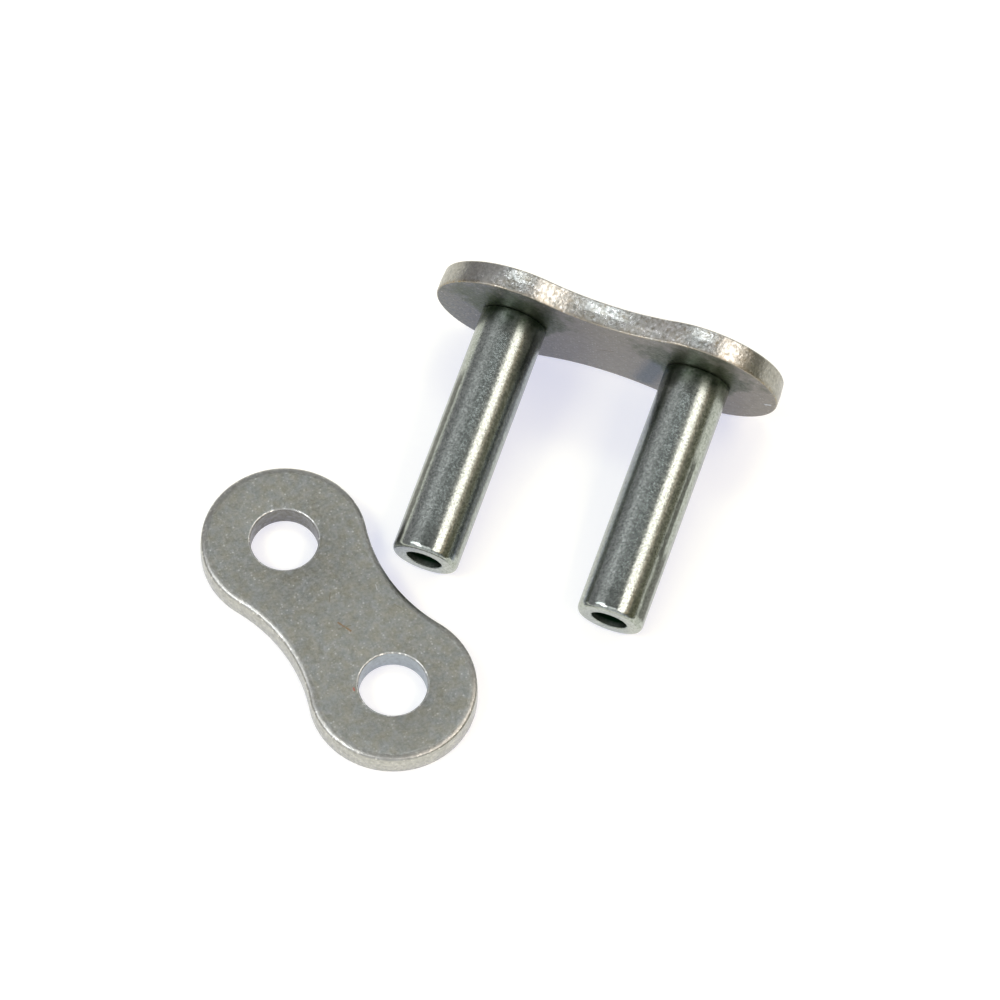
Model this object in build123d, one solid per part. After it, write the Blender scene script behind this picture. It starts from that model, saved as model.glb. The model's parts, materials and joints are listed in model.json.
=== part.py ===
"""Rivet connecting link of a half-inch-pitch roller chain, as it lies ready to be fitted.

One link plate carries two hollow-nosed rivet pins, and a second link plate lies loose beside them.
Millimetres, +Z up, on the surface Z = 0. +X runs from the left pin to the right pin, and the pins
point towards -Y.
"""
from build123d import *
from math import asin, atan2, cos, degrees, hypot, radians, sin, tan
import os

os.makedirs("parts", exist_ok=True)

# The link plate, stamped from strip
chain_pitch = 12.7        # from one hole to the other
plate_height = 10.95      # across a round end
waist_height = 8.4        # across the middle
plate_thickness = 1.65
outer_edge_break = 0.12   # edge all round where the punch went in, on the outer face
inner_edge_break = 0.08   # edge all round on the inner face
outer_rim_break = 0.12    # rim of the loose plate's holes, on the outer face
inner_rim_break = 0.1     # rim of every hole, on the inner face

# The rivet pin, turned from bar
pin_diameter = 4.45
pin_reach = 17.5          # from the inner face of its plate to the tip
shoulder_step = 0.18      # the pin is turned down by this all round where it sits in its plate
shoulder_break = 0.1      # edge of the shoulder that stops the pin on the plate's inner face
tip_round = 0.25
nose_diameter = 2.4       # hollow nose, which is spread over the loose plate when the link is fitted
nose_depth = 2.8          # full-width depth, above the drill point
nose_break = 0.06         # edge at the mouth of the nose
drill_point_angle = 118.0
head_overhang = 0.45      # how far the riveted head stands out past the hole
head_height = 0.45
head_round = 0.2

# Fits between pins and holes, on the diameter
seat_clearance = 0.0      # the riveted seats fill the holes of the plate that carries the pins
press_bite = 0.02         # the loose plate is pressed on, so its holes are smaller than the pins

# How the loose plate lies beside the left pin's tip
lay_turn = 35.9           # from the line of the pins, in degrees
lay_slide = 1.63          # how far the tip lies from the middle of the waist, to its left
lay_gap = 0.9             # between the tip and the waist, measured across the plate

half_pitch = chain_pitch / 2
half_waist = waist_height / 2
end_radius = plate_height / 2
# a waist arc of this radius touches both round ends
waist_radius = (half_waist**2 + half_pitch**2 - end_radius**2) / (2 * (end_radius - half_waist))
pin_radius = pin_diameter / 2
seat_radius = pin_radius - shoulder_step
pin_places = {"left": -half_pitch, "right": half_pitch}


def plate_outline():
    """Figure-eight outline: two round ends joined by two waist arcs that touch them."""
    # a waist arc touches an end on the line between their two centres
    share = end_radius / (end_radius + waist_radius)
    touch_x = half_pitch * (1 - share)
    touch_y = (half_waist + waist_radius) * share
    with BuildSketch() as outline:
        with BuildLine():
            for side in (1, -1):
                ThreePointArc(
                    (side * touch_x, -touch_y), (side * (half_pitch + end_radius), 0), (side * touch_x, touch_y)
                )
                ThreePointArc((-touch_x, side * touch_y), (0, side * half_waist), (touch_x, side * touch_y))
        make_face()
    return outline.sketch


def link_plate(hole_diameter, outer_rim):
    """Waisted plate with two holes, inner face down on Z = 0. A hole's outer rim is broken by outer_rim."""
    with BuildPart() as plate:
        add(plate_outline())
        extrude(amount=plate_thickness)
        chamfer(plate.faces().sort_by(Axis.Z)[-1].outer_wire().edges(), outer_edge_break)
        chamfer(plate.faces().sort_by(Axis.Z)[0].outer_wire().edges(), inner_edge_break)
        with Locations(*[(place, 0, 0) for place in pin_places.values()]):
            Hole(hole_diameter / 2)
        rims = plate.edges(Select.LAST).filter_by(GeomType.CIRCLE)
        chamfer(rims.group_by(Axis.Z)[0], inner_rim_break)
        if outer_rim:
            chamfer(rims.group_by(Axis.Z)[-1], outer_rim)
    return plate.part


def rivet_pin():
    """Pin along +Z with its hollow nose up and its riveted head below the plate, whose inner face is Z = 0."""
    head_radius = seat_radius + head_overhang
    head_top = -plate_thickness - head_height
    nose_radius = nose_diameter / 2
    nose_floor = pin_reach - nose_depth
    drill_tip = nose_floor - nose_radius / tan(radians(drill_point_angle / 2))
    with BuildPart() as pin:
        with BuildSketch(Plane.XZ):
            with BuildLine():
                Polyline((0, drill_tip), (0, head_top), (head_radius - head_round, head_top))
                RadiusArc(
                    (head_radius - head_round, head_top), (head_radius, head_top + head_round), -head_round
                )
                Polyline(
                    (head_radius, head_top + head_round),
                    (head_radius, -plate_thickness),
                    (seat_radius, -plate_thickness),
                    (seat_radius, 0),
                    (pin_radius - shoulder_break, 0),
                    (pin_radius, shoulder_break),
                    (pin_radius, pin_reach - tip_round),
                )
                RadiusArc(
                    (pin_radius, pin_reach - tip_round), (pin_radius - tip_round, pin_reach), -tip_round
                )
                Polyline(
                    (pin_radius - tip_round, pin_reach),
                    (nose_radius + nose_break, pin_reach),
                    (nose_radius, pin_reach - nose_break),
                    (nose_radius, nose_floor),
                    (0, drill_tip),
                )
            make_face()
        revolve(axis=Axis.Z)
    return pin.part


def resting_pose():
    """Tilt of the pins and height of the plate's middle, as the pinned plate rests on the surface.

    It stands on the lower edge of its plate, behind the broken edge of the inner face, and on the rounded
    tips of its pins. Seen from the side, the surface goes through a point and touches a circle.
    """
    edge_along, edge_up = -inner_edge_break, -end_radius
    tip_along, tip_up = pin_reach - tip_round, tip_round - pin_radius
    run, rise = tip_along - edge_along, tip_up - edge_up
    tilt = atan2(rise, run) - asin(tip_round / hypot(run, rise))
    height = edge_along * sin(tilt) - edge_up * cos(tilt)
    return tilt, height


def loose_plate_place(tilt):
    """Middle of the loose plate on the surface, worked out from the left side of the left pin's tip."""
    turn = radians(lay_turn)
    corner = Vector(pin_places["left"] - pin_radius, -pin_reach * cos(tilt))
    along = Vector(cos(turn), -sin(turn))
    across = Vector(sin(turn), cos(turn))
    edge_height = half_waist + waist_radius - (waist_radius**2 - lay_slide**2) ** 0.5
    return corner - across * (edge_height + lay_gap) + along * lay_slide


def make_link():
    """All pieces by name, in place, with the origin under the middle of their box."""
    tilt, height = resting_pose()
    pinned = Location((0, 0, height), (90 + degrees(tilt), 0, 0))
    flipped = Rotation(180, 0, 0)
    pieces = {"pin_plate": pinned * flipped * link_plate(2 * seat_radius + seat_clearance, None)}
    for side, place in pin_places.items():
        pieces[f"{side}_pin"] = pinned * Pos(place, 0, 0) * rivet_pin()
    middle = loose_plate_place(tilt)
    loose = Location((middle.X, middle.Y, 0), (0, 0, -lay_turn))
    pieces["side_plate"] = loose * link_plate(pin_diameter - press_bite, outer_rim_break)
    box = Compound(list(pieces.values())).bounding_box()
    to_origin = Pos(-box.center().X, -box.center().Y, 0)
    return {name: to_origin * piece for name, piece in pieces.items()}


for name, piece in make_link().items():
    export_step(piece, f"parts/{name}.step")
    print(name, f"{piece.volume:.2f} mm3", piece.bounding_box())
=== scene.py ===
# %% [markdown]
# # A rivet connecting link on a white table
#
# The object joins the two ends of a roller chain. One link plate carries two pins whose tips are hollow.
# The second plate lies loose until a riveting tool spreads the pin tips over it. Everything is bare steel,
# so this lesson is mostly about finishing steel: tumbled plates, ground pins, and edges that the tumbling
# barrel has beaten bright.
#
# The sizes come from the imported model, which the first cell loads. All lengths are metres.

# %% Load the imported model
import json
from math import acos, atan2, cos, pi, radians, sin, tan

import bpy
from mathutils import Matrix, Vector


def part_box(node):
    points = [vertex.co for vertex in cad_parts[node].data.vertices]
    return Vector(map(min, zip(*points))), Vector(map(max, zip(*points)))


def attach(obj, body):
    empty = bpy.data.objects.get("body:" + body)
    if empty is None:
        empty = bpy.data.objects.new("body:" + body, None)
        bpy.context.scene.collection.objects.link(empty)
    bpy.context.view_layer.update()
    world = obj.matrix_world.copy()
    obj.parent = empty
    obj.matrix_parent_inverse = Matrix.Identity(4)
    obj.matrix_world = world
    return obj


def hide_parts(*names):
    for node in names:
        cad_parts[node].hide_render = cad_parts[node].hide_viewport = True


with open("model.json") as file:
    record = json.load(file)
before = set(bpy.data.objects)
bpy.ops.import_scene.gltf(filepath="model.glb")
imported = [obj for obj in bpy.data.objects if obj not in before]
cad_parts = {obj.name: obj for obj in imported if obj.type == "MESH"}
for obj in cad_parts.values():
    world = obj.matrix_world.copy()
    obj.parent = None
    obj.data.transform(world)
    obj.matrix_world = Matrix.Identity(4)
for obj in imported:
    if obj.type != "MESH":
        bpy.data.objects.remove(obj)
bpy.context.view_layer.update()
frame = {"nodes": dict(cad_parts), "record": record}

print("nodes:", sorted(frame["nodes"]))

# %% [markdown]
# ## Reading sizes instead of typing them
#
# The record that came with the model names each place where something fits: the two holes of the loose
# plate, the pin, the pair of pins and the hollow nose. Reading them keeps this script true when the model
# changes. Only what the record leaves out is written here: the waist, the pin's shoulder and tip, its
# riveted head and the point of its drill.

# %% Sizes and places
mm = 0.001
mounts = {m["name"]: m for m in frame["record"]["mounts"]}


def place_of(name):
    """Where a mount is, in metres."""
    return Vector(mounts[name]["pos_m"])


def size_of(name, key):
    """One of a mount's sizes, in metres."""
    return mounts[name]["dims"][key] * mm


waist = 8.4 * mm
shoulder_step = 0.18 * mm
shoulder_break = 0.1 * mm
head_overhang = 0.45 * mm
tip_round = 0.25 * mm
drill_point = radians(118.0)

pitch = size_of("pin_pair", "pcd_mm")
pin_radius = size_of("right_pin", "r_mm")
pin_reach = size_of("right_pin", "length_mm") + tip_round + shoulder_break
nose_radius = size_of("right_pin_nose", "r_mm")
nose_wall = size_of("right_pin_nose", "length_mm")
seat_radius = pin_radius - shoulder_step
head_radius = seat_radius + head_overhang
loose_hole = size_of("loose_plate_left_hole", "r_mm")
low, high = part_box("side_plate")
thickness = high.z - low.z
low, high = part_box("pin_plate")
plate_height = (high.x - low.x) - pitch
print("pitch", pitch, "pin radius", pin_radius, "reach", pin_reach, "plate", plate_height, thickness)

# %% Where the pieces lie
across = Vector((1, 0, 0))
pin_axis = Vector(mounts["pin_pair"]["axis"]).normalized()
tilt = acos(-pin_axis.y)
plate_middle = place_of("pin_pair")
loose_left, loose_right = place_of("loose_plate_left_hole"), place_of("loose_plate_right_hole")
loose_middle = (loose_left + loose_right) / 2
loose_middle.z = 0.0
loose_turn = atan2(loose_right.y - loose_left.y, loose_right.x - loose_left.x)


def hole_place(side):
    """The middle of a pin's hole on the plate's inner face: side is -1 for the left and 1 for the right."""
    return plate_middle + across * side * pitch / 2


def standing(middle, z_axis, x_axis):
    """The matrix that puts a piece's Z along z_axis, its X along x_axis and its origin at middle."""
    y_axis = z_axis.cross(x_axis)
    return Matrix.Translation(middle) @ Matrix((x_axis, y_axis, z_axis)).transposed().to_4x4()


print("tilt of the pins", round(tilt, 4), "turn of the loose plate", round(loose_turn, 4))

# %% [markdown]
# ## The camera
#
# The photograph looks down on the link from in front and a little to the right, through a long lens: the
# two pins hardly converge. A long lens far away gives the same flat perspective. The camera is a little
# rolled, as a hand-held one is. Its place and its aim are measured from the table under the middle of the
# pin plate's inner face.

# %% Camera
lens = 216.0
camera_offset = Vector((55.457, -191.438, 343.832)) * mm
target_offset = Vector((-3.606, -10.156, 0.0)) * mm
camera_roll = radians(2.07)

table_point = Vector((plate_middle.x, plate_middle.y, 0.0))
camera_data = bpy.data.cameras.new("camera")
camera_data.lens = lens
camera_data.sensor_width = 36.0
camera_data.clip_start = 0.01
camera_data.clip_end = 20.0
camera = bpy.data.objects.new("camera", camera_data)
bpy.context.scene.collection.objects.link(camera)
bpy.context.scene.camera = camera

backwards = (camera_offset - target_offset).normalized()
level_right = Vector((0, 0, 1)).cross(backwards).normalized()
level_up = backwards.cross(level_right)
right = level_right * cos(camera_roll) + level_up * sin(camera_roll)
up = level_up * cos(camera_roll) - level_right * sin(camera_roll)
turn = Matrix((right, up, backwards)).transposed().to_4x4()
camera.matrix_world = Matrix.Translation(table_point + camera_offset) @ turn
print("camera at", [round(x, 4) for x in camera.location])

# %% [markdown]
# ## A bench for node trees
#
# Both the shapes and the finishes are node trees. A small helper keeps the making of them readable: it
# adds a node, sets its properties, and fills each socket either with a value or with a wire from another
# node.


# %% A helper for node trees
class Bench:
    """Adds nodes to one tree and wires them."""

    def __init__(self, tree):
        self.tree = tree

    def node(self, kind, sockets=None, **settings):
        """A node. sockets maps an input's name or number to a value or to another node's output."""
        made = self.tree.nodes.new(kind)
        for key, value in settings.items():
            setattr(made, key, value)
        for key, value in (sockets or {}).items():
            self.fill(made.inputs[key], value)
        return made

    def first(self, kind, sockets=None, **settings):
        """The first output of a new node."""
        return self.node(kind, sockets, **settings).outputs[0]

    def fill(self, socket, value):
        """Puts a value, or a wire from an output, into a socket."""
        if isinstance(value, bpy.types.NodeSocket):
            self.tree.links.new(value, socket)
        else:
            socket.default_value = value

    def math(self, operation, *values):
        """The result of a Math node."""
        return self.first("ShaderNodeMath", dict(enumerate(values)), operation=operation)

    def times(self, first, second):
        """A product."""
        return self.math("MULTIPLY", first, second)

    def plus(self, first, second):
        """A sum."""
        return self.math("ADD", first, second)

    def minus(self, first, second):
        """A difference."""
        return self.math("SUBTRACT", first, second)

    def whole(self, operation, *values):
        """The result of an Integer Math node."""
        return self.first("FunctionNodeIntegerMath", dict(enumerate(values)), operation=operation)

    def vector(self, operation, *values):
        """The result of a Vector Math node."""
        made = self.node("ShaderNodeVectorMath", dict(enumerate(values)), operation=operation)
        return made.outputs["Value" if operation in ("DOT_PRODUCT", "LENGTH") else "Vector"]

    def scaled(self, vector, factor):
        """A vector made longer or shorter."""
        return self.first("ShaderNodeVectorMath", {0: vector, "Scale": factor}, operation="SCALE")

    def mark(self, name):
        """A mark that the points carry."""
        return self.first("GeometryNodeInputNamedAttribute", {"Name": name}, data_type="FLOAT")

    def stored(self, geometry, name, value):
        """The geometry with a mark stored on its points."""
        sockets = {"Geometry": geometry, "Name": name, "Value": value}
        return self.first("GeometryNodeStoreNamedAttribute", sockets, data_type="FLOAT")

    def point(self, x=0.0, y=0.0, z=0.0):
        """A vector from three numbers or wires."""
        return self.first("ShaderNodeCombineXYZ", {0: x, 1: y, 2: z})

    def parts(self, vector):
        """The three numbers of a vector."""
        return self.node("ShaderNodeSeparateXYZ", {0: vector}).outputs

    def join(self, *geometry):
        """Several geometries as one, in the order given. The node puts the wire that came last first."""
        made = self.node("GeometryNodeJoinGeometry")
        for piece in reversed(geometry):
            self.tree.links.new(piece, made.inputs[0])
        return made.outputs[0]

    def group(self, tree, sockets):
        """The first output of another tree used as a node."""
        kind = "ShaderNodeGroup" if tree.bl_idname == "ShaderNodeTree" else "GeometryNodeGroup"
        return self.first(kind, sockets, node_tree=tree)


print("bench ready")


# %% Trees with named inputs
def new_tree(name, kind, inputs, output, socket):
    """A node tree with one output, and a bench with the sockets that its inputs and output are wired to.

    inputs maps an input's name to the number that it starts from, or else to its kind of socket.
    """
    tree = bpy.data.node_groups.new(name, kind)
    for label, value in inputs.items():
        number = {float: FLOAT, int: INTEGER}.get(type(value))
        made = tree.interface.new_socket(label, in_out="INPUT", socket_type=number or value)
        if number:
            made.default_value = value
    tree.interface.new_socket(output, in_out="OUTPUT", socket_type=socket)
    bench = Bench(tree)
    return tree, bench, bench.node("NodeGroupInput").outputs, bench.node("NodeGroupOutput").inputs[0]


GEOMETRY, FLOAT, VECTOR = "NodeSocketGeometry", "NodeSocketFloat", "NodeSocketVector"
INTEGER, MATERIAL = "NodeSocketInt", "NodeSocketMaterial"
print("trees ready")

# %% [markdown]
# ## One way to make every wall
#
# The edge of a stamped plate, the wall of a hole and the whole of a turned pin are one idea: a profile
# swept round a closed rail. A Curve to Mesh node could do it, but then the profile's direction depends on
# how Blender turns it along the rail. Here a grid is laid out instead, one column for each point of the
# rail and one row for each point of the profile, and each grid point is put exactly where it belongs. One
# column more lies on top of the first, and welding the two closes the wall.
#
# The profile's X is the distance out from the rail and its Z is the height. Its points carry two marks
# that the finishes use later: edge is 1 where tumbling beats the steel, and side is 1 on stamped walls.

# %% The swept wall
weld = 0.0002 * mm


def point_count(b, points):
    """How many points a geometry has."""
    size = b.node("GeometryNodeAttributeDomainSize", {"Geometry": points}, component="POINTCLOUD")
    return size.outputs["Point Count"]


def swept_wall_tree():
    """Rail and profile in, wall out. The rail runs anticlockwise seen from above."""
    tree, b, given, result = new_tree(
        "swept wall", "GeometryNodeTree", {"Rail": GEOMETRY, "Profile": GEOMETRY}, "Wall", GEOMETRY,
    )
    rail, profile = (
        b.node("GeometryNodeCurveToPoints", {"Curve": given[name]}, mode="EVALUATED").outputs["Points"]
        for name in ("Rail", "Profile")
    )
    # the runs of a rail share their end points, and the last run ends where the first one starts
    rail = b.first("GeometryNodeMergeByDistance", {"Geometry": rail, "Distance": weld})
    around, rows = point_count(b, rail), point_count(b, profile)
    grid = b.node("GeometryNodeMeshGrid", {"Vertices X": b.whole("ADD", around, 1), "Vertices Y": rows})
    index = b.first("GeometryNodeInputIndex")
    column, row = b.whole("DIVIDE_FLOOR", index, rows), b.whole("MODULO", index, rows)
    position = b.first("GeometryNodeInputPosition")

    def pick(points, value, place, kind="FLOAT_VECTOR"):
        sockets = {"Geometry": points, "Value": value, "Index": place}
        return b.first("GeometryNodeSampleIndex", sockets, data_type=kind)

    before, base, after = (
        pick(rail, position, b.whole("MODULO", b.whole("ADD", column, step), around))
        for step in (b.whole("SUBTRACT", around, 1), 0, 1)
    )
    # the rail's direction at a point is halfway between those of the two steps that meet there
    steps = (b.vector("NORMALIZE", b.vector("SUBTRACT", *pair)) for pair in ((base, before), (after, base)))
    forwards = b.vector("NORMALIZE", b.vector("ADD", *steps))
    outwards = b.vector("CROSS_PRODUCT", forwards, (0.0, 0.0, 1.0))
    distance, _, height = b.parts(pick(profile, position, row))
    place = b.vector("ADD", b.vector("ADD", base, b.scaled(outwards, distance)), b.point(z=height))
    wall = b.first("GeometryNodeSetPosition", {"Geometry": grid.outputs["Mesh"], "Position": place})
    for name in ("edge", "side"):
        wall = b.stored(wall, name, pick(profile, b.mark(name), row, "FLOAT"))
    wall = b.first("GeometryNodeMergeByDistance", {"Geometry": wall, "Distance": weld})
    b.fill(result, b.first("GeometryNodeSetShadeSmooth", {"Geometry": wall}))
    return tree


swept_wall = swept_wall_tree()
print("swept wall:", len(swept_wall.nodes), "nodes")

# %% [markdown]
# A profile or a rail is a few straight and round runs, one after another. Each run is a curve node with
# its own number of points, so the points go where the shape turns.


# %% Straight and round runs
def marked(b, curve, edge, side):
    """The curve with its two marks stored on its points."""
    return b.stored(b.stored(curve, "edge", edge), "side", side)


def even_line(b, start, end, count):
    """A straight line of count points."""
    line = b.first("GeometryNodeCurvePrimitiveLine", {"Start": start, "End": end})
    return b.first("GeometryNodeResampleCurve", {"Curve": line, "Count": count})


def straight(b, start, end, count=2, edge=0.0, side=0.0):
    """A straight run of count points."""
    return marked(b, even_line(b, start, end, count), edge, side)


def round_run(b, start, middle, end, count):
    """A round run through three points, in count steps."""
    sockets = {"Start": start, "Middle": middle, "End": end, "Resolution": count}
    return marked(b, b.node("GeometryNodeCurveArc", sockets, mode="POINTS").outputs["Curve"], 0.0, 0.0)


def corner(b, start, end, level_first, count, edge=0.0, side=0.0):
    """A quarter of an ellipse from start to end. level_first says that it leaves the start level."""
    angle = b.times(b.node("GeometryNodeSplineParameter").outputs["Factor"], pi / 2)
    quick, slow = b.math("SINE", angle), b.minus(1.0, b.math("COSINE", angle))
    share_x, share_z = (quick, slow) if level_first else (slow, quick)
    x0, _, z0 = b.parts(start)
    x1, _, z1 = b.parts(end)
    x = b.math("MULTIPLY_ADD", b.minus(x1, x0), share_x, x0)
    z = b.math("MULTIPLY_ADD", b.minus(z1, z0), share_z, z0)
    sockets = {"Geometry": even_line(b, start, end, count), "Position": b.point(x, 0.0, z)}
    return marked(b, b.first("GeometryNodeSetPosition", sockets), edge, side)


print("runs ready")

# %% [markdown]
# ## The link plate
#
# A press stamps the plate from strip, so it has a clean outline: two round ends and a waist. The punch
# rolls the upper edge over and leaves the lower edge sharp, and then the plates tumble against each other
# in a barrel, which rounds every edge a little and beats small dents into it. The outline follows a rule,
# four arcs that touch each other, so it is worked out inside the tree from three sizes. The faces are
# filled between the open rims of the swept walls.


# %% The plate's rails
def plate_rail(b, given, count):
    """Four arcs that touch, anticlockwise from the right end's lower touching point."""
    half_pitch = b.times(given["Pitch"], 0.5)
    end = b.times(given["Height"], 0.5)
    half_waist = b.times(given["Waist"], 0.5)
    # the waist arc's radius is (waist^2 + pitch^2 - end^2) / (2 (end - waist)), with half sizes
    squares = b.math("MULTIPLY_ADD", half_waist, half_waist, b.times(half_pitch, half_pitch))
    squares = b.minus(squares, b.times(end, end))
    waist_arc = b.math("DIVIDE", squares, b.times(b.minus(end, half_waist), 2.0))
    share = b.math("DIVIDE", end, b.plus(end, waist_arc))
    touch_x = b.times(half_pitch, b.minus(1.0, share))
    touch_y = b.times(b.plus(half_waist, waist_arc), share)
    far_x = b.plus(half_pitch, end)

    def at(x_sign, x, y_sign, y):
        return b.point(b.times(x, x_sign), b.times(y, y_sign))

    runs = []
    for side in (1.0, -1.0):
        runs.append(round_run(b, at(side, touch_x, -side, touch_y), at(side, far_x, 0.0, 0.0),
                              at(side, touch_x, side, touch_y), count))
        runs.append(round_run(b, at(side, touch_x, side, touch_y), at(0.0, 0.0, side, half_waist),
                              at(-side, touch_x, side, touch_y), count))
    return b.join(*runs)


def circle_rail(b, middle_x, radius, count):
    """A circle of two arcs round a point on the X axis."""
    right_x, left_x = b.plus(middle_x, radius), b.minus(middle_x, radius)
    back = b.times(radius, -1.0)
    first = round_run(b, b.point(right_x), b.point(middle_x, radius), b.point(left_x), count)
    second = round_run(b, b.point(left_x), b.point(middle_x, back), b.point(right_x), count)
    return b.join(first, second)


print("rails ready")

# %% The plate's profiles
# a hair's breadth of unmarked face along each rim keeps the marks from spreading over the faces
border = 0.02 * mm


def outline_profile(b, given):
    """The cut edge from the top down: the punch's roll, sheared wall, torn wall and broken edge."""
    top, edge_break = given["Thickness"], given["Edge break"]
    inwards, shoulder, foot = (
        b.times(given[size], share)
        for size, share in (("Roll width", -1.0), ("Bulge", -1.0), ("Bulge", -0.2))
    )
    roll_end, foot_in = b.minus(top, given["Roll depth"]), b.minus(foot, edge_break)
    half_way = b.times(top, 0.45)
    progress = b.node("GeometryNodeSplineParameter").outputs["Factor"]
    return b.join(
        straight(b, b.point(b.minus(inwards, border), z=top), b.point(inwards, z=top)),
        corner(b, b.point(inwards, z=top), b.point(shoulder, z=roll_end), True, 20,
               edge=b.times(progress, 0.9), side=b.times(progress, 0.6)),
        straight(b, b.point(shoulder, z=roll_end), b.point(0.0, z=half_way), 10, side=1.0),
        straight(b, b.point(0.0, z=half_way), b.point(foot, z=edge_break), 10, edge=0.15, side=1.0),
        corner(b, b.point(foot, z=edge_break), b.point(foot_in), False, 6, edge=1.0, side=0.5),
        straight(b, b.point(foot_in), b.point(b.minus(foot_in, border))),
    )


def hole_profile(b, given):
    """The wall of a hole from the top down, with both rims rounded."""
    top, outer, inner = given["Thickness"], given["Outer rim"], given["Inner rim"]
    rim_foot = b.minus(top, outer)
    return b.join(
        straight(b, b.point(b.plus(outer, border), z=top), b.point(outer, z=top)),
        corner(b, b.point(outer, z=top), b.point(0.0, z=rim_foot), True, 8, edge=1.0),
        straight(b, b.point(0.0, z=rim_foot), b.point(0.0, z=inner), 12, side=0.6),
        corner(b, b.point(0.0, z=inner), b.point(inner), False, 8, edge=1.0),
        straight(b, b.point(inner), b.point(b.plus(inner, border))),
    )


print("profiles ready")

# %% Faces, creases and dents
rim_slack, sharp_turn, dent_size = 0.01 * mm, radians(30), 0.35 * mm


def filled_face(b, walls, height, up):
    """A flat face between the open rims at one height."""
    z = b.parts(b.first("GeometryNodeInputPosition"))[2]
    near = b.math("COMPARE", z, height, rim_slack)
    rims = b.math("COMPARE", b.first("GeometryNodeInputMeshEdgeNeighbors"), 1.0, 0.1)
    chosen = b.times(near, rims)
    loops = b.first("GeometryNodeMeshToCurve", {"Mesh": walls, "Selection": chosen})
    face = b.first("GeometryNodeFillCurve", {"Curve": loops})
    lifted = b.first("GeometryNodeSetPosition", {"Geometry": face, "Offset": b.point(z=height)})
    return lifted if up else b.first("GeometryNodeFlipFaces", {"Mesh": lifted})


def creased(b, mesh):
    """The mesh shaded smooth, except over edges that turn by more than a third of a right angle."""
    smooth = b.first("GeometryNodeSetShadeSmooth", {"Geometry": mesh, "Shade Smooth": True})
    turn = b.node("GeometryNodeInputMeshEdgeAngle").outputs["Unsigned Angle"]
    sharp = b.math("GREATER_THAN", turn, sharp_turn)
    sockets = {"Geometry": smooth, "Selection": sharp, "Shade Smooth": False}
    return b.first("GeometryNodeSetShadeSmooth", sockets, domain="EDGE")


def dented(b, given, plate):
    """The plate with the barrel's dents, only where edges and walls are marked, and only inwards."""
    reach = b.math("MAXIMUM", b.mark("edge"), b.mark("side"))
    sockets = {"Vector": b.first("GeometryNodeInputPosition"), "W": given["Seed"],
               "Scale": 1 / dent_size, "Detail": 3.0}
    lumpy = b.first("ShaderNodeTexNoise", sockets, noise_dimensions="4D")
    depth = b.times(b.times(lumpy, reach), b.times(given["Dents"], -2.0))
    dent = b.scaled(b.first("GeometryNodeInputNormal"), depth)
    return b.first("GeometryNodeSetPosition", {"Geometry": plate, "Offset": dent})


def finished(b, piece, steel):
    """The piece as a real mesh with its steel on it."""
    piece = b.first("GeometryNodeRealizeInstances", {"Geometry": piece})
    return b.first("GeometryNodeSetMaterial", {"Geometry": piece, "Material": steel})


print("faces, creases and dents ready")

# %% The plate's tree
hole_points = 100


def link_plate_tree():
    """A link plate with its inner face on Z = 0, middle at the origin and length along X."""
    tree, b, given, result = new_tree(
        "link plate", "GeometryNodeTree",
        {"Geometry": GEOMETRY, "Pitch": pitch, "Height": plate_height, "Waist": waist,
         "Thickness": thickness, "Hole radius": loose_hole, "Roll depth": 0.24 * mm, "Roll width": 0.60 * mm,
         "Edge break": 0.08 * mm, "Outer rim": 0.12 * mm, "Inner rim": 0.1 * mm, "Bulge": 0.05 * mm,
         "Dents": 0.006 * mm, "Seed": 1.0, "Outline points": 240, "Steel": MATERIAL},
        "Plate", GEOMETRY,
    )
    rail = plate_rail(b, given, given["Outline points"])
    outline = b.group(swept_wall, {"Rail": rail, "Profile": outline_profile(b, given)})
    walls = [b.first("GeometryNodeFlipFaces", {"Mesh": outline})]
    profile, half_pitch = hole_profile(b, given), b.times(given["Pitch"], 0.5)
    for side in (-1.0, 1.0):
        rail = circle_rail(b, b.times(half_pitch, side), given["Hole radius"], hole_points)
        walls.append(b.group(swept_wall, {"Rail": rail, "Profile": profile}))
    walls = b.join(*walls)
    faces = filled_face(b, walls, given["Thickness"], True), filled_face(b, walls, 0.0, False)
    plate = b.join(walls, *faces)
    plate = b.first("GeometryNodeMergeByDistance", {"Geometry": plate, "Distance": weld})
    b.fill(result, finished(b, dented(b, given, creased(b, plate)), given["Steel"]))
    return tree


link_plate = link_plate_tree()
print("link plate:", len(link_plate.nodes), "nodes")

# %% [markdown]
# ## The rivet pin
#
# The pin is turned from bar and ground, so it is round about its axis and one profile describes all of
# it: the riveted head behind the plate, the seat in the plate, the shoulder, the long shank, the rounded
# tip and the hollow nose with the cone that its drill left. The same swept wall turns that profile round
# a small circle.

# %% The pin's tree
pin_rail, pin_points = 1.0 * mm, 96


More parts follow.
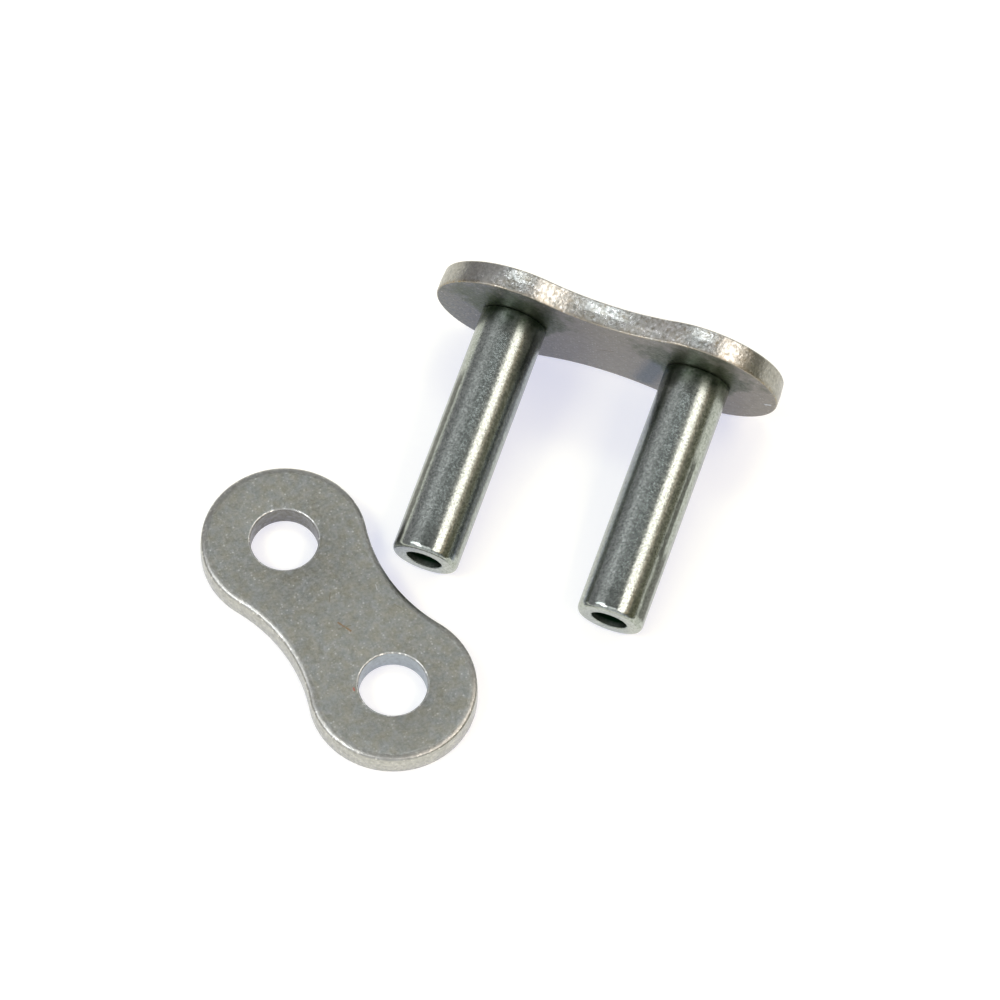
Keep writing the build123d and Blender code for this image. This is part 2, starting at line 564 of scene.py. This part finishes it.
def rivet_pin_tree():
    """A pin along +Z, with its nose up and the plate's inner face on Z = 0."""
    tree, b, given, result = new_tree(
        "rivet pin", "GeometryNodeTree",
        {"Geometry": GEOMETRY, "Radius": pin_radius, "Reach": pin_reach, "Plate": thickness,
         "Seat radius": seat_radius, "Shoulder": shoulder_break, "Tip round": tip_round,
         "Tip length": 0.42 * mm, "Nose radius": nose_radius, "Nose edge": 0.06 * mm, "Nose wall": nose_wall,
         "Drill cone": nose_radius / tan(drill_point / 2), "Head radius": head_radius,
         "Head height": 0.45 * mm, "Head round": 0.2 * mm, "Head crown": 0.08 * mm, "Steel": MATERIAL},
        "Pin", GEOMETRY,
    )

    def at(radius, z):
        return b.point(b.minus(radius, pin_rail), 0.0, z)

    radius, reach, seat, nose, head, break_z = (
        given[name] for name in ("Radius", "Reach", "Seat radius", "Nose radius", "Head radius", "Shoulder")
    )
    back = b.times(given["Plate"], -1.0)
    head_low = b.minus(back, given["Head height"])
    head_edge = b.plus(head_low, given["Head crown"])
    head_side = b.plus(head_edge, given["Head round"])
    flat = b.minus(head, given["Head round"])
    half_flat = b.times(flat, 0.5)
    break_in, tip_in = b.minus(radius, break_z), b.minus(radius, given["Tip round"])
    tip_start = b.minus(reach, given["Tip length"])
    mouth_out, mouth = b.plus(nose, given["Nose edge"]), b.minus(reach, given["Nose edge"])
    floor = b.minus(mouth, given["Nose wall"])
    runs = [
        straight(b, at(0.0, head_low), at(half_flat, head_low), 6),
        straight(b, at(half_flat, head_low), at(flat, head_edge), 8),
        corner(b, at(flat, head_edge), at(head, head_side), True, 8, edge=1.0),
        straight(b, at(head, head_side), at(head, back), 3),
        straight(b, at(head, back), at(seat, back)),
        straight(b, at(seat, back), at(seat, 0.0)),
        straight(b, at(seat, 0.0), at(break_in, 0.0)),
        corner(b, at(break_in, 0.0), at(radius, break_z), True, 4),
        straight(b, at(radius, break_z), at(radius, tip_start), 60),
        corner(b, at(radius, tip_start), at(tip_in, reach), False, 14, edge=1.0),
        straight(b, at(tip_in, reach), at(mouth_out, reach), 4),
        straight(b, at(mouth_out, reach), at(nose, mouth), 3, edge=1.0),
        straight(b, at(nose, mouth), at(nose, floor), 8, side=1.0),
        straight(b, at(nose, floor), at(0.0, b.minus(floor, given["Drill cone"])), 4, side=1.0),
    ]
    rail = circle_rail(b, 0.0, pin_rail, pin_points)
    pin = creased(b, b.group(swept_wall, {"Rail": rail, "Profile": b.join(*runs)}))
    b.fill(result, finished(b, pin, given["Steel"]))
    return tree


rivet_pin = rivet_pin_tree()
print("rivet pin:", len(rivet_pin.nodes), "nodes")

# %% [markdown]
# ## Finishes: what tumbled and ground steel look like
#
# Bare steel has hardly any colour of its own. What the eye reads as a grey satin plate is a bright metal
# whose surface is covered with dents a tenth of a millimetre wide, each with its own small reflection.
# So the finishes are built from a few shared effects: a mottle for the dents, specks where a dent catches
# the light, and strips for marks left by handling, which also lay one band of painted shade. Each effect is
# a node group that is made once and used with different sizes.


# %% Blending helpers
def mixed(b, share, first, second):
    """A colour between two, each a tuple or a wire."""
    made = b.node("ShaderNodeMix", data_type="RGBA")
    b.fill(made.inputs[0], share)
    for socket, colour in ((made.inputs[6], first), (made.inputs[7], second)):
        b.fill(socket, colour if isinstance(colour, bpy.types.NodeSocket) else (*colour, 1.0))
    return made.outputs[2]


def over(b, colour, paint, mask, strength):
    """A colour with a paint over it where the mask is 1, thinned by its strength."""
    return mixed(b, b.times(mask, strength), colour, paint)


def between(b, share, first, second):
    """A number between two."""
    return b.math("MULTIPLY_ADD", share, b.minus(second, first), first)


def ramp(b, value, start, end, kind="SMOOTHSTEP"):
    """0 at start, 1 at end, smooth between unless kind says LINEAR."""
    sockets = {"Value": value, "From Min": start, "From Max": end}
    return b.first("ShaderNodeMapRange", sockets, interpolation_type=kind)


print("blending ready")


# %% Mottle and specks
def mottle_group():
    """An even field of small lumps, 0 to 1 about 0.5."""
    tree, b, given, result = new_tree(
        "mottle", "ShaderNodeTree", {"Vector": VECTOR, "Size": 0.1 * mm, "Seed": 0.0, "Contrast": 1.0},
        "Value", FLOAT,
    )
    sockets = {"Vector": given["Vector"], "W": given["Seed"], "Scale": b.math("DIVIDE", 1.0, given["Size"]),
               "Detail": 3.0, "Roughness": 0.55}
    noise = b.first("ShaderNodeTexNoise", sockets, noise_dimensions="4D")
    middle = b.math("MULTIPLY_ADD", given["Contrast"], -0.5, 0.5)
    swing = b.math("MULTIPLY_ADD", noise, given["Contrast"], middle)
    b.fill(result, b.first("ShaderNodeClamp", {"Value": swing}))
    return tree


def specks_group():
    """Scattered small spots: 1 in a spot, 0 elsewhere. Amount is the share of places that have one."""
    tree, b, given, result = new_tree(
        "specks", "ShaderNodeTree", {"Vector": VECTOR, "Size": 0.15 * mm, "Amount": 0.2}, "Mask", FLOAT,
    )
    scale = b.math("DIVIDE", 1.0, given["Size"])
    cells = b.node("ShaderNodeTexVoronoi", {"Vector": given["Vector"], "Scale": scale})
    lucky = b.math("LESS_THAN", b.parts(cells.outputs["Color"])[0], given["Amount"])
    b.fill(result, b.times(lucky, ramp(b, cells.outputs["Distance"], 0.45, 0.15, "LINEAR")))
    return tree


mottle, specks = mottle_group(), specks_group()


def lumps(b, place, size, seed, contrast):
    """The mottle at one size."""
    return b.group(mottle, {"Vector": place, "Size": size, "Seed": seed, "Contrast": contrast})


def spots(b, place, size, amount):
    """The specks at one size."""
    return b.group(specks, {"Vector": place, "Size": size, "Amount": amount})


print("mottle and specks ready")

# %% Marks left by handling, and a band of painted shade
ragged_size = 0.12 * mm


def rub_and_shade_strip_group():
    """A short strip between two points, used for rubbed lines and for a band of painted shade: 1 on it,
    fading over its width.
    """
    tree, b, given, result = new_tree(
        "rub_and_shade_strip", "ShaderNodeTree",
        {"Vector": VECTOR, "Start": VECTOR, "End": VECTOR, "Width": 0.1 * mm}, "Mask", FLOAT,
    )
    span = b.vector("SUBTRACT", given["End"], given["Start"])
    offset = b.vector("SUBTRACT", given["Vector"], given["Start"])
    share = b.math("DIVIDE", b.vector("DOT_PRODUCT", offset, span), b.vector("DOT_PRODUCT", span, span))
    foot = b.scaled(span, b.first("ShaderNodeClamp", {"Value": share}))
    away = b.vector("LENGTH", b.vector("SUBTRACT", offset, foot))
    sockets = {"Vector": given["Vector"], "Scale": 1 / ragged_size}
    ragged = b.times(b.first("ShaderNodeTexNoise", sockets), 2.0)
    reach = b.times(given["Width"], ragged)
    b.fill(result, ramp(b, b.math("DIVIDE", away, reach), 1.0, 0.3, "LINEAR"))
    return tree


rub_and_shade_strip = rub_and_shade_strip_group()
print("scratch ready")

# %% [markdown]
# ## Plate steel
#
# The faces of both plates are an even satin grey with a trace of olive and small bright specks. The edges
# are another matter: the barrel beats them hardest, so they carry coarse bright lumps. The walls of the
# swept edge carry marks that say where that is, and the material reads them.
#
# The plate with the pins has been handled more, and its walls are coarser. The ends of its walls are painted
# darker: painted shade, where the walls turn away from the lights. Its inner face faces the table and is
# painted with shade and the table's reflection, bluish at the left end and warm grey at the right, and round
# each pin, widest above it, a dark green patch is painted shade and the pin's dark reflection, with a little
# oil at the joint.


# %% A metal to start from
def metal(name, middle, rotation):
    """A metal material: its bench, its Principled node, and coordinates centred and turned to the piece."""
    material = bpy.data.materials.new(name)
    material.use_nodes = True
    b = Bench(material.node_tree)
    shader = material.node_tree.nodes["Principled BSDF"]
    shader.inputs["Metallic"].default_value = 1.0
    place = b.node("ShaderNodeTexCoord").outputs["Object"]
    sockets = {"Vector": place, "Location": middle, "Rotation": rotation}
    return material, b, shader, b.first("ShaderNodeMapping", sockets, vector_type="TEXTURE")


def attribute(b, name):
    """A mark that the swept walls carry."""
    return b.node("ShaderNodeAttribute", attribute_name=name).outputs["Fac"]


def from_hole(b, x, other):
    """How far a place on a plate is from the middle of the nearer hole."""
    offset = b.minus(b.math("ABSOLUTE", x), pitch / 2)
    return b.math("SQRT", b.math("MULTIPLY_ADD", offset, offset, b.times(other, other)))


print("metal ready")


# %% The colours of a plate's faces
def plate_patterns(b, place):
    """The patterns that all colours of a plate share, by name."""
    patterns = {
        "fine": lumps(b, place, 0.20 * mm, 2.0, 4.0), "coarse": lumps(b, place, 0.24 * mm, 5.0, 3.0),
        "cloud": lumps(b, place, 2.6 * mm, 9.0, 2.4), "blotch": lumps(b, place, 0.5 * mm, 6.0, 4.0),
        "tint": lumps(b, place, 0.8 * mm, 12.0, 4.0), "bright": spots(b, place, 0.26 * mm, 0.4),
    }
    glint = spots(b, place, 0.19 * mm, 0.28)
    patterns["glint"] = b.times(glint, between(b, patterns["blotch"], 0.10, 0.50))
    return patterns


def face_colour(b, seen):
    """Satin grey in small lumps, olive in places, with faint clouds and bright specks."""
    dark = mixed(b, seen["tint"], (0.152, 0.156, 0.142), (0.162, 0.153, 0.118))
    light = mixed(b, seen["tint"], (0.282, 0.289, 0.278), (0.286, 0.279, 0.240))
    share = b.math("MULTIPLY_ADD", seen["blotch"], 0.35, b.times(seen["fine"], 0.65))
    colour = over(b, mixed(b, share, dark, light), (0.245, 0.235, 0.195), seen["cloud"], 0.12)
    return mixed(b, seen["glint"], colour, (0.60, 0.60, 0.56))


def inner_painted_shade_and_reflection(b, seen, x):
    """Painted shade and a painted reflection of the table on the pin plate's inner face: bluish and dark at
    its left end, warm grey at its right.
    """
    painted_shade_layer = mixed(b, ramp(b, x, -9.0 * mm, 1.5 * mm), (0.072, 0.090, 0.126), (0.268, 0.247, 0.217))
    painted_shade_layer = over(b, painted_shade_layer, (0.31, 0.30, 0.29), seen["fine"], 0.7)
    painted_shade_layer = over(b, painted_shade_layer, (0.150, 0.140, 0.125), seen["blotch"], 0.4)
    return over(b, painted_shade_layer, (0.50, 0.50, 0.50), seen["glint"], 1.2)


def oil_and_painted_shade_round_pins(b, place):
    """Where the pin plate is painted dark round each pin: on the inner face, wider above the pin, painted
    shade and the pin's dark reflection with a little oil; on the outer face, a thin ring of oil round the
    head. Z is up and Y is backwards there.
    """
    x, y, z = b.parts(place)
    away = from_hole(b, x, z)
    ragged, patchy = lumps(b, place, 0.7 * mm, 4.0, 2.4), lumps(b, place, 0.25 * mm, 8.0, 4.0)
    reach = between(b, ramp(b, z, -0.5 * mm, 2.2 * mm), 0.35 * mm, 3.2 * mm)
    reach = b.times(reach, b.plus(ragged, 0.5))
    painted_shade_layer = b.math("DIVIDE", b.minus(away, pin_radius), reach)
    painted_shade_layer = b.minus(1.0, ramp(b, painted_shade_layer, 0.25, 1.1))
    inner = b.times(ramp(b, y, 0.05 * mm, 0.0), between(b, patchy, 0.50, 0.88))
    ring_width = b.math("MULTIPLY_ADD", ragged, 0.30 * mm, 0.05 * mm)
    ring = b.math("DIVIDE", b.minus(away, head_radius), ring_width)
    outer = b.times(ramp(b, ring, 1.0, 0.2), ramp(b, y, thickness - 0.05 * mm, thickness))
    return b.math("MULTIPLY_ADD", painted_shade_layer, inner, b.times(outer, 0.6))


print("face colours ready")


# %% The colours of a plate's walls
def pin_plate_walls_with_painted_shade(b, seen, edge, x, y):
    """The pin plate's walls: coarse and bright, painted darker at both ends as shade where they turn away
    from the lights, brown along the inner face.
    """
    hollow = mixed(b, seen["tint"], (0.24, 0.245, 0.23), (0.28, 0.245, 0.185))
    colour = mixed(b, seen["coarse"], hollow, (0.62, 0.62, 0.60))
    colour = over(b, colour, (0.92, 0.93, 0.93), seen["bright"], between(b, edge, 0.5, 0.9))
    # painted shade: the walls are darker at both ends, where they turn away from the lights
    end_shade = mixed(b, seen["fine"], (0.20, 0.20, 0.19), (0.31, 0.305, 0.29))
    ends = b.math("MAXIMUM", ramp(b, x, -6.8 * mm, -8.2 * mm), ramp(b, x, 9.2 * mm, 10.4 * mm))
    colour = over(b, colour, end_shade, ends, 0.75)
    inner_edge = b.times(ramp(b, y, 0.30 * mm, 0.05 * mm), seen["coarse"])
    return over(b, colour, (0.24, 0.185, 0.11), inner_edge, 0.8)


def clean_walls(b, seen, edge):
    """The loose plate's walls: an even grey, with bright lumps along the rims."""
    colour = mixed(b, seen["coarse"], (0.35, 0.352, 0.342), (0.51, 0.513, 0.500))
    return over(b, colour, (0.95, 0.94, 0.90), seen["bright"], between(b, edge, 0.15, 0.95))


def hole_walls_painted_shade_and_reflection(b, seen, x):
    """The sheared walls of the loose plate's holes: painted shade in the left one and a painted bluish
    reflection in the right one.
    """
    right_hole = b.math("GREATER_THAN", x, 0.0)
    hollow = mixed(b, right_hole, (0.15, 0.143, 0.125), (0.31, 0.34, 0.37))
    lump = mixed(b, right_hole, (0.235, 0.24, 0.25), (0.40, 0.445, 0.49))
    return mixed(b, seen["coarse"], hollow, lump)


print("wall colours ready")

# %% Plate steel
hole_slack = 0.015 * mm


def plate_steel(name, middle, rotation, marks, oily_and_painted_shade):
    """Tumbled steel. marks are strips: start, end, width and colour, in the plate's own place; most are
    rubbed lines, and one on the pin plate is a band of painted shade.
    """
    material, b, shader, place = metal(name, middle, rotation)
    x, y, _ = b.parts(place)
    edge, side = attribute(b, "edge"), attribute(b, "side")
    beaten = b.math("MAXIMUM", edge, side)
    seen = plate_patterns(b, place)
    colour = face_colour(b, seen)
    if oily_and_painted_shade:
        # the inner face is painted with shade and the table's reflection
        colour = over(b, colour, inner_painted_shade_and_reflection(b, seen, x), ramp(b, y, 0.12 * mm, 0.02 * mm), 0.85)
    walls = pin_plate_walls_with_painted_shade(b, seen, edge, x, y) if oily_and_painted_shade else clean_walls(b, seen, edge)
    colour = mixed(b, beaten, colour, walls)
    for start, end, width, paint in marks:
        sockets = {"Vector": place, "Start": start, "End": end, "Width": width}
        colour = mixed(b, b.group(rub_and_shade_strip, sockets), colour, paint)
    if oily_and_painted_shade:
        # dark green: painted shade and the pins' dark reflection, with a little oil
        colour = mixed(b, oil_and_painted_shade_round_pins(b, place), colour, (0.034, 0.058, 0.018))
    else:
        # the hole walls carry painted shade and a painted reflection
        in_hole = b.math("LESS_THAN", from_hole(b, x, y), loose_hole + hole_slack)
        colour = mixed(b, in_hole, colour, hole_walls_painted_shade_and_reflection(b, seen, x))
    b.fill(shader.inputs["Base Color"], colour)
    rough = between(b, beaten, between(b, seen["fine"], 0.38, 0.48), between(b, seen["coarse"], 0.33, 0.26))
    b.fill(shader.inputs["Roughness"], rough)
    dents = b.math("MULTIPLY_ADD", seen["coarse"], between(b, edge, 0.6 if oily_and_painted_shade else 0.0, 1.4), seen["fine"])
    bump = b.first("ShaderNodeBump", {"Strength": 0.5, "Distance": 0.012 * mm, "Height": dents})
    b.fill(shader.inputs["Normal"], bump)
    return material


def on_loose(x, y):
    """A place on the loose plate's upper face, in millimetres from its middle."""
    return Vector((x * mm, y * mm, thickness))


def on_inner(x, z):
    """A place on the pin plate's inner face, in millimetres from its middle."""
    return Vector((x * mm, 0.0, z * mm))


rust, dull, scuff = (0.20, 0.125, 0.060), (0.17, 0.155, 0.115), (0.42, 0.42, 0.40)
loose_marks = [
    (on_loose(0.7, -0.45), on_loose(1.65, -0.12), 0.09 * mm, rust),
    (on_loose(1.1, -0.7), on_loose(1.3, 0.1), 0.07 * mm, dull),
    (on_loose(-1.4, 0.3), on_loose(-0.9, -0.1), 0.05 * mm, dull),
    (on_loose(-0.3, 3.1), on_loose(0.1, 2.95), 0.04 * mm, scuff),
    (on_loose(1.6, 3.3), on_loose(2.1, 3.5), 0.05 * mm, dull),
    (on_loose(5.2, -2.25), on_loose(5.35, -2.3), 0.08 * mm, (0.35, 0.10, 0.07)),
]
inner_marks_and_painted_shade = [
    (on_inner(11.0, -0.75), on_inner(11.35, -0.55), 0.12 * mm, (0.55, 0.58, 0.62)),
    # a bluish band of painted shade on the inner face, beside the right pin
    (on_inner(2.6, -3.4), on_inner(3.6, 0.3), 1.1 * mm, (0.130, 0.150, 0.170)),
    (on_inner(-0.6, -0.5), on_inner(0.5, 0.1), 0.05 * mm, (0.16, 0.13, 0.10)),
]
lying, leaning = (0.0, 0.0, loose_turn), (tilt, 0.0, 0.0)
loose_plate_steel = plate_steel("tumbled plate steel", loose_middle, lying, loose_marks, False)
pin_plate_steel = plate_steel("tumbled plate steel, oily", plate_middle, leaning, inner_marks_and_painted_shade, True)
print("plate steel:", len(pin_plate_steel.node_tree.nodes), "nodes")

# %% [markdown]
# ## Pin steel
#
# The pins are ground smooth and then tumbled, so they are the shiniest part, with fine marks and pits all
# over. Thin dark streaks run along their flanks: on the left pin, and on the right pin's left flank, they
# are painted reflections of the other pin and of the shade beside it, and where each pin meets its plate a
# dark green band is painted shade, with a little oil. A streak is easiest to place by how far along the pin
# and how far round it lies, so the material works out both. Behind the plate, a spinning tool has riveted
# each pin's end into a head, and the tool leaves rings on it.


# %% Streaks along a pin
def streak_group():
    """A dark streak along a pin: between two distances, at an angle round it, with a half width."""
    tree, b, given, result = new_tree(
        "streak", "ShaderNodeTree",
        {"Along": 0.0, "Angle": 0.0, "Waver": 0.5, "Start": 0.0, "End": 0.01, "Centre": 0.0,
         "Half width": 0.1},
        "Mask", FLOAT,
    )
    start = b.minus(given["Along"], given["Start"])
    end = b.minus(given["End"], given["Along"])
    inside = b.times(ramp(b, start, 0.0, 1.2 * mm), ramp(b, end, 0.0, 0.3 * mm))
    away = b.math("ABSOLUTE", b.minus(given["Angle"], given["Centre"]))
    waver = b.math("MULTIPLY_ADD", given["Waver"], 0.4, 0.8)
    away = b.math("DIVIDE", away, b.times(given["Half width"], waver))
    b.fill(result, b.times(inside, ramp(b, away, 1.3, 0.6)))
    return tree


streak = streak_group()
print("streak ready")

# %% Grime, painted shade and rings
ring_spacing = 0.16 * mm


def pin_grime_and_painted_shade(b, along, head, broad, marks):
    """Where a pin meets its plate: a patchy band on the shank that is painted shade with a little oil, and a
    thin ring of oil under the head.
    """
    patchy = b.plus(b.math("MULTIPLY_ADD", broad, 1.1, -0.12), b.times(marks, 0.45))
    shank = b.times(ramp(b, along, 1.9 * mm, 0.1 * mm), patchy)
    under_head = ramp(b, along, -thickness - 0.20 * mm, -thickness)
    return b.math("MINIMUM", between(b, head, shank, under_head), 0.90)


def spun_rings(b, x, z, head):
    """Rings round the pin's axis, on its head alone."""
    away = b.math("SQRT", b.math("MULTIPLY_ADD", x, x, b.times(z, z)))
    sockets = {"W": away, "Scale": 1 / ring_spacing, "Detail": 2.0}
    rings = b.first("ShaderNodeTexNoise", sockets, noise_dimensions="1D")
    return b.times(ramp(b, rings, 0.35, 0.65), head)


print("grime and rings ready")


# %% Pin steel
def pin_steel(name, side, streaks):
    """Ground steel with fine marks and streaks, for the pin on one side."""
    material, b, shader, place = metal(name, hole_place(side), leaning)
    x, y, z = b.parts(place)
    along, angle = b.times(y, -1.0), b.math("ARCTAN2", x, z)
    edge, bore, head = attribute(b, "edge"), attribute(b, "side"), b.math("LESS_THAN", along, -thickness)
    marks, broad = lumps(b, place, 0.15 * mm, 3.0 + side, 4.0), lumps(b, place, 0.7 * mm, 7.0 + side, 2.4)
    pits, rings = spots(b, place, 0.15 * mm, 0.30), spun_rings(b, x, z, head)
    colour = mixed(b, marks, (0.267, 0.293, 0.277), (0.420, 0.454, 0.434))
    colour = over(b, colour, (0.62, 0.65, 0.63), spots(b, place, 0.18 * mm, 0.12), 0.4)
    colour = over(b, colour, (0.135, 0.165, 0.145), pits, 0.7)
    for start, end, centre, half_width, strength in streaks:
        sockets = {"Along": along, "Angle": angle, "Waver": broad, "Start": start * mm, "End": end * mm,
                   "Centre": radians(centre), "Half width": radians(half_width)}
        thinned = between(b, marks, strength, 0.8 * strength)
        colour = over(b, colour, (0.07, 0.075, 0.07), b.group(streak, sockets), thinned)
    colour = over(b, colour, (0.58, 0.60, 0.58), rings, 0.6)
    # dark green at the root: painted shade, with a little oil
    colour = mixed(b, pin_grime_and_painted_shade(b, along, head, broad, marks), colour, (0.042, 0.068, 0.036))
    # inside the nose the colour is painted near black: painted shade of the hollow, with a little oil
    b.fill(shader.inputs["Base Color"], mixed(b, bore, colour, (0.003, 0.022, 0.008)))
    # the dim tint inside the nose is painted shade as well, so it hardly shines
    b.fill(shader.inputs["Specular Tint"], mixed(b, bore, (1.0, 1.0, 1.0), (0.12, 0.36, 0.18)))
    tip = ramp(b, along, pin_reach - 2.4 * mm, pin_reach - 1.2 * mm)
    shine = b.math("MAXIMUM", edge, b.times(tip, 0.6))
    rough = between(b, bore, between(b, shine, between(b, marks, 0.22, 0.27), 0.15), 0.6)
    b.fill(shader.inputs["Roughness"], rough)
    height = b.math("MULTIPLY_ADD", pits, -1.0, b.times(marks, 0.5))
    height = b.math("MULTIPLY_ADD", rings, 1.5, height)
    bump = b.first("ShaderNodeBump", {"Strength": 0.3, "Distance": 0.006 * mm, "Height": height})
    b.fill(shader.inputs["Normal"], bump)
    return material


# each streak: from and to along the pin in millimetres, degrees round it from the top, half width in
# degrees, and how dark
# both streaks on the left pin are painted reflections: the shade beside its left limb, and the right pin
# mirrored on its right flank
left_streaks = [(4.4, 17.3, -54.5, 8.0, 1.0), (0.2, 17.0, 62.0, 10.0, 0.8)]
# on the right pin the last two are painted reflections on its left flank: the left pin along it, and a wedge
# at the root from the plate and the left pin's shaded side
right_streaks = [(5.2, 12.9, 57.0, 5.5, 1.0), (11.8, 17.2, 66.0, 12.0, 1.0), (-1.0, 17.3, -45.0, 5.5, 0.35),
                 (-1.2, 1.7, -38.0, 17.0, 0.6)]
left_pin_steel = pin_steel("ground pin steel, left", -1, left_streaks)
right_pin_steel = pin_steel("ground pin steel, right", 1, right_streaks)
print("pin steel:", len(right_pin_steel.node_tree.nodes), "nodes")

# %% [markdown]
# ## From tree to plain mesh
#
# A tree only describes a shape. To become a piece that can be exported, it runs on a holder object, its
# result is copied to a plain mesh, and the mesh is moved to its place. The object itself stays at the
# origin, so Object coordinates in a material are the link's own coordinates.


# %% Growing a piece
def grown(name, tree, place, values):
    """A piece made by a tree, with its place in its mesh."""
    piece = bpy.data.objects.new(name, bpy.data.meshes.new(name))
    bpy.context.scene.collection.objects.link(piece)
    modifier = piece.modifiers.new("tree", "NODES")
    modifier.node_group = tree
    sockets = {item.name: item.identifier for item in tree.interface.items_tree if item.in_out == "INPUT"}
    for label, value in values.items():
        modifier[sockets[label]] = value
    seen = piece.evaluated_get(bpy.context.evaluated_depsgraph_get())
    mesh = bpy.data.meshes.new_from_object(seen)
    piece.modifiers.remove(modifier)
    piece.data = mesh
    mesh.name = name
    mesh.transform(place)
    for empty in [k for k, material in enumerate(mesh.materials) if material is None]:
        mesh.materials.pop(index=empty)
    print(name, len(mesh.polygons), "faces, materials", [m.name for m in mesh.materials])
    return piece


print("ready to grow")

# %% [markdown]
# Each piece rides on the part's one body and takes the place of its plain solid. The loose plate shows the
# side that the punch struck, with its wide roll. The plate with the pins was struck from behind, and its
# roll is narrower.

# %% The four pieces
pin_plate = grown(
    "stamped_pin_plate", link_plate, standing(plate_middle, -pin_axis, across),
    {"Hole radius": seat_radius, "Outer rim": 0.02 * mm, "Roll depth": 0.16 * mm, "Roll width": 0.32 * mm,
     "Bulge": 0.06 * mm, "Seed": 3.0, "Steel": pin_plate_steel},
)
loose_plate = grown(
    "stamped_loose_plate", link_plate,
    standing(loose_middle, Vector((0, 0, 1)), (loose_right - loose_left).normalized()),
    {"Seed": 8.0, "Steel": loose_plate_steel},
)
left_pin, right_pin = (
    grown(name, rivet_pin, standing(hole_place(side), pin_axis, across), {"Steel": steel})
    for name, side, steel in (
        ("turned_left_pin", -1, left_pin_steel), ("turned_right_pin", 1, right_pin_steel),
    )
)
for piece, node, slot in (
    (pin_plate, "pin_plate", "plate_steel"), (loose_plate, "side_plate", "plate_steel"),
    (left_pin, "left_pin", "pin_steel"), (right_pin, "right_pin", "pin_steel"),
):
    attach(piece, "root")
    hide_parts(node)

# %% [markdown]
# ## The table
#
# The link was photographed on white, with faint bluish shadows. The table is a white diffuse plane. Seen
# by the camera or mirrored in the steel it also glows a little, which lifts the open table to plain white
# and leaves the shadows in place.


# %% The table
def white_table():
    """A large white plane just under the link."""
    half, drop = 1.5, 0.005 * mm
    mesh = bpy.data.meshes.new("table")
    corners = [(x, y, -drop) for x, y in ((-half, -half), (half, -half), (half, half), (-half, half))]
    mesh.from_pydata(corners, [], [(0, 1, 2, 3)])
    table = bpy.data.objects.new("table", mesh)
    bpy.context.scene.collection.objects.link(table)
    material = bpy.data.materials.new("white table")
    material.use_nodes = True
    nodes = material.node_tree.nodes
    nodes.remove(nodes["Principled BSDF"])
    b = Bench(material.node_tree)
    # the plain part is yellowish and the glow bluish: in the open they add up to white, and in the shadows,
    # where mostly the glow is left, they paint a bluish tint
    plain = b.first("ShaderNodeBsdfDiffuse", {"Color": (0.72, 0.69, 0.40, 1.0)})
    glow = b.first("ShaderNodeEmission", {"Color": (0.58, 0.62, 1.0, 1.0), "Strength": 0.64})
    path = b.node("ShaderNodeLightPath").outputs
    seen = b.math("MAXIMUM", path["Is Camera Ray"], path["Is Glossy Ray"])
    both = b.first("ShaderNodeAddShader", {0: plain, 1: glow})
    surface = b.first("ShaderNodeMixShader", {0: seen, 1: plain, 2: both})
    b.fill(nodes["Material Output"].inputs[0], surface)
    mesh.materials.append(material)
    return table


white_table()
print("table ready")

# %% [markdown]
# ## Light
#
# Steel shows its surroundings, so the lights are placed by what the pins and the plates' edges mirror.
# Each pin carries one narrow cream stripe right of its top: the key window high on the right, with a warm
# strip beside it. The rolled back corner of the pin plate is bluish white: a small cool window behind. A
# dim panel in front fills the faces, a window on the left lights the walls that face that way, and the
# spot on each pin's tip comes from a small window in front on the left. The rest of the room is a quiet
# grey, lighter on the left, in front and behind, and dark olive low on the right.


# %% Lamps
def window(name, direction, distance, width, length, radiance, colour):
    """A flat lamp that faces the link, its length along Y. Its power follows from its brightness."""
    data = bpy.data.lights.new(name, "AREA")
    data.shape = "RECTANGLE"
    data.size, data.size_y = width, length
    data.energy = radiance * pi * width * length
    data.color = colour
    lamp = bpy.data.objects.new(name, data)
    bpy.context.scene.collection.objects.link(lamp)
    direction = Vector(direction).normalized()
    sideways = Vector((0, 1, 0)).cross(direction).normalized()
    lamp.matrix_world = standing(direction * distance, direction, sideways)
    lamp.visible_camera = False
    print(name, "power", round(data.energy, 2), "W")


window("key window", (0.585, 0.05, 0.80), 0.6, 0.24, 0.80, 3.5, (1.0, 0.92, 0.84))
window("warm strip", (0.80, 0.10, 0.59), 0.6, 0.10, 0.80, 0.5, (1.0, 0.70, 0.34))
window("back window", (-0.08, 0.39, 0.91), 0.7, 0.26, 0.12, 6.6, (0.90, 0.96, 1.0))
window("front panel", (-0.02, -0.48, 0.87), 0.8, 0.60, 0.32, 1.0, (1.0, 1.0, 1.0))
window("left window", (-0.62, -0.18, 0.76), 0.6, 0.34, 0.20, 3.2, (0.96, 0.98, 1.0))
window("front window", (-0.43, -0.46, 0.78), 0.6, 0.18, 0.18, 7.0, (1.0, 1.0, 1.0))


# %% The room
def room():
    """A grey room: lighter on the left, in front and behind, and dark olive low on the right."""
    world = bpy.data.worlds.new("room")
    bpy.context.scene.world = world
    world.use_nodes = True
    b = Bench(world.node_tree)
    x, y, _ = b.parts(b.node("ShaderNodeTexCoord").outputs["Generated"])
    colour = mixed(b, ramp(b, x, -0.25, -0.68), (0.24, 0.24, 0.235), (0.64, 0.63, 0.64))
    colour = mixed(b, ramp(b, x, -0.75, -0.87, "LINEAR"), colour, (0.36, 0.35, 0.36))
    colour = mixed(b, ramp(b, x, 0.78, 0.92), colour, (0.205, 0.195, 0.125))
    colour = mixed(b, ramp(b, y, -0.45, -0.8), colour, (0.90, 0.90, 0.90))
    colour = mixed(b, ramp(b, y, 0.55, 0.85), colour, (0.74, 0.74, 0.74))
    background = world.node_tree.nodes["Background"]
    b.fill(background.inputs["Color"], colour)
    background.inputs["Strength"].default_value = 1.0


room()
bpy.context.scene.view_settings.view_transform = "Standard"
print("room ready")
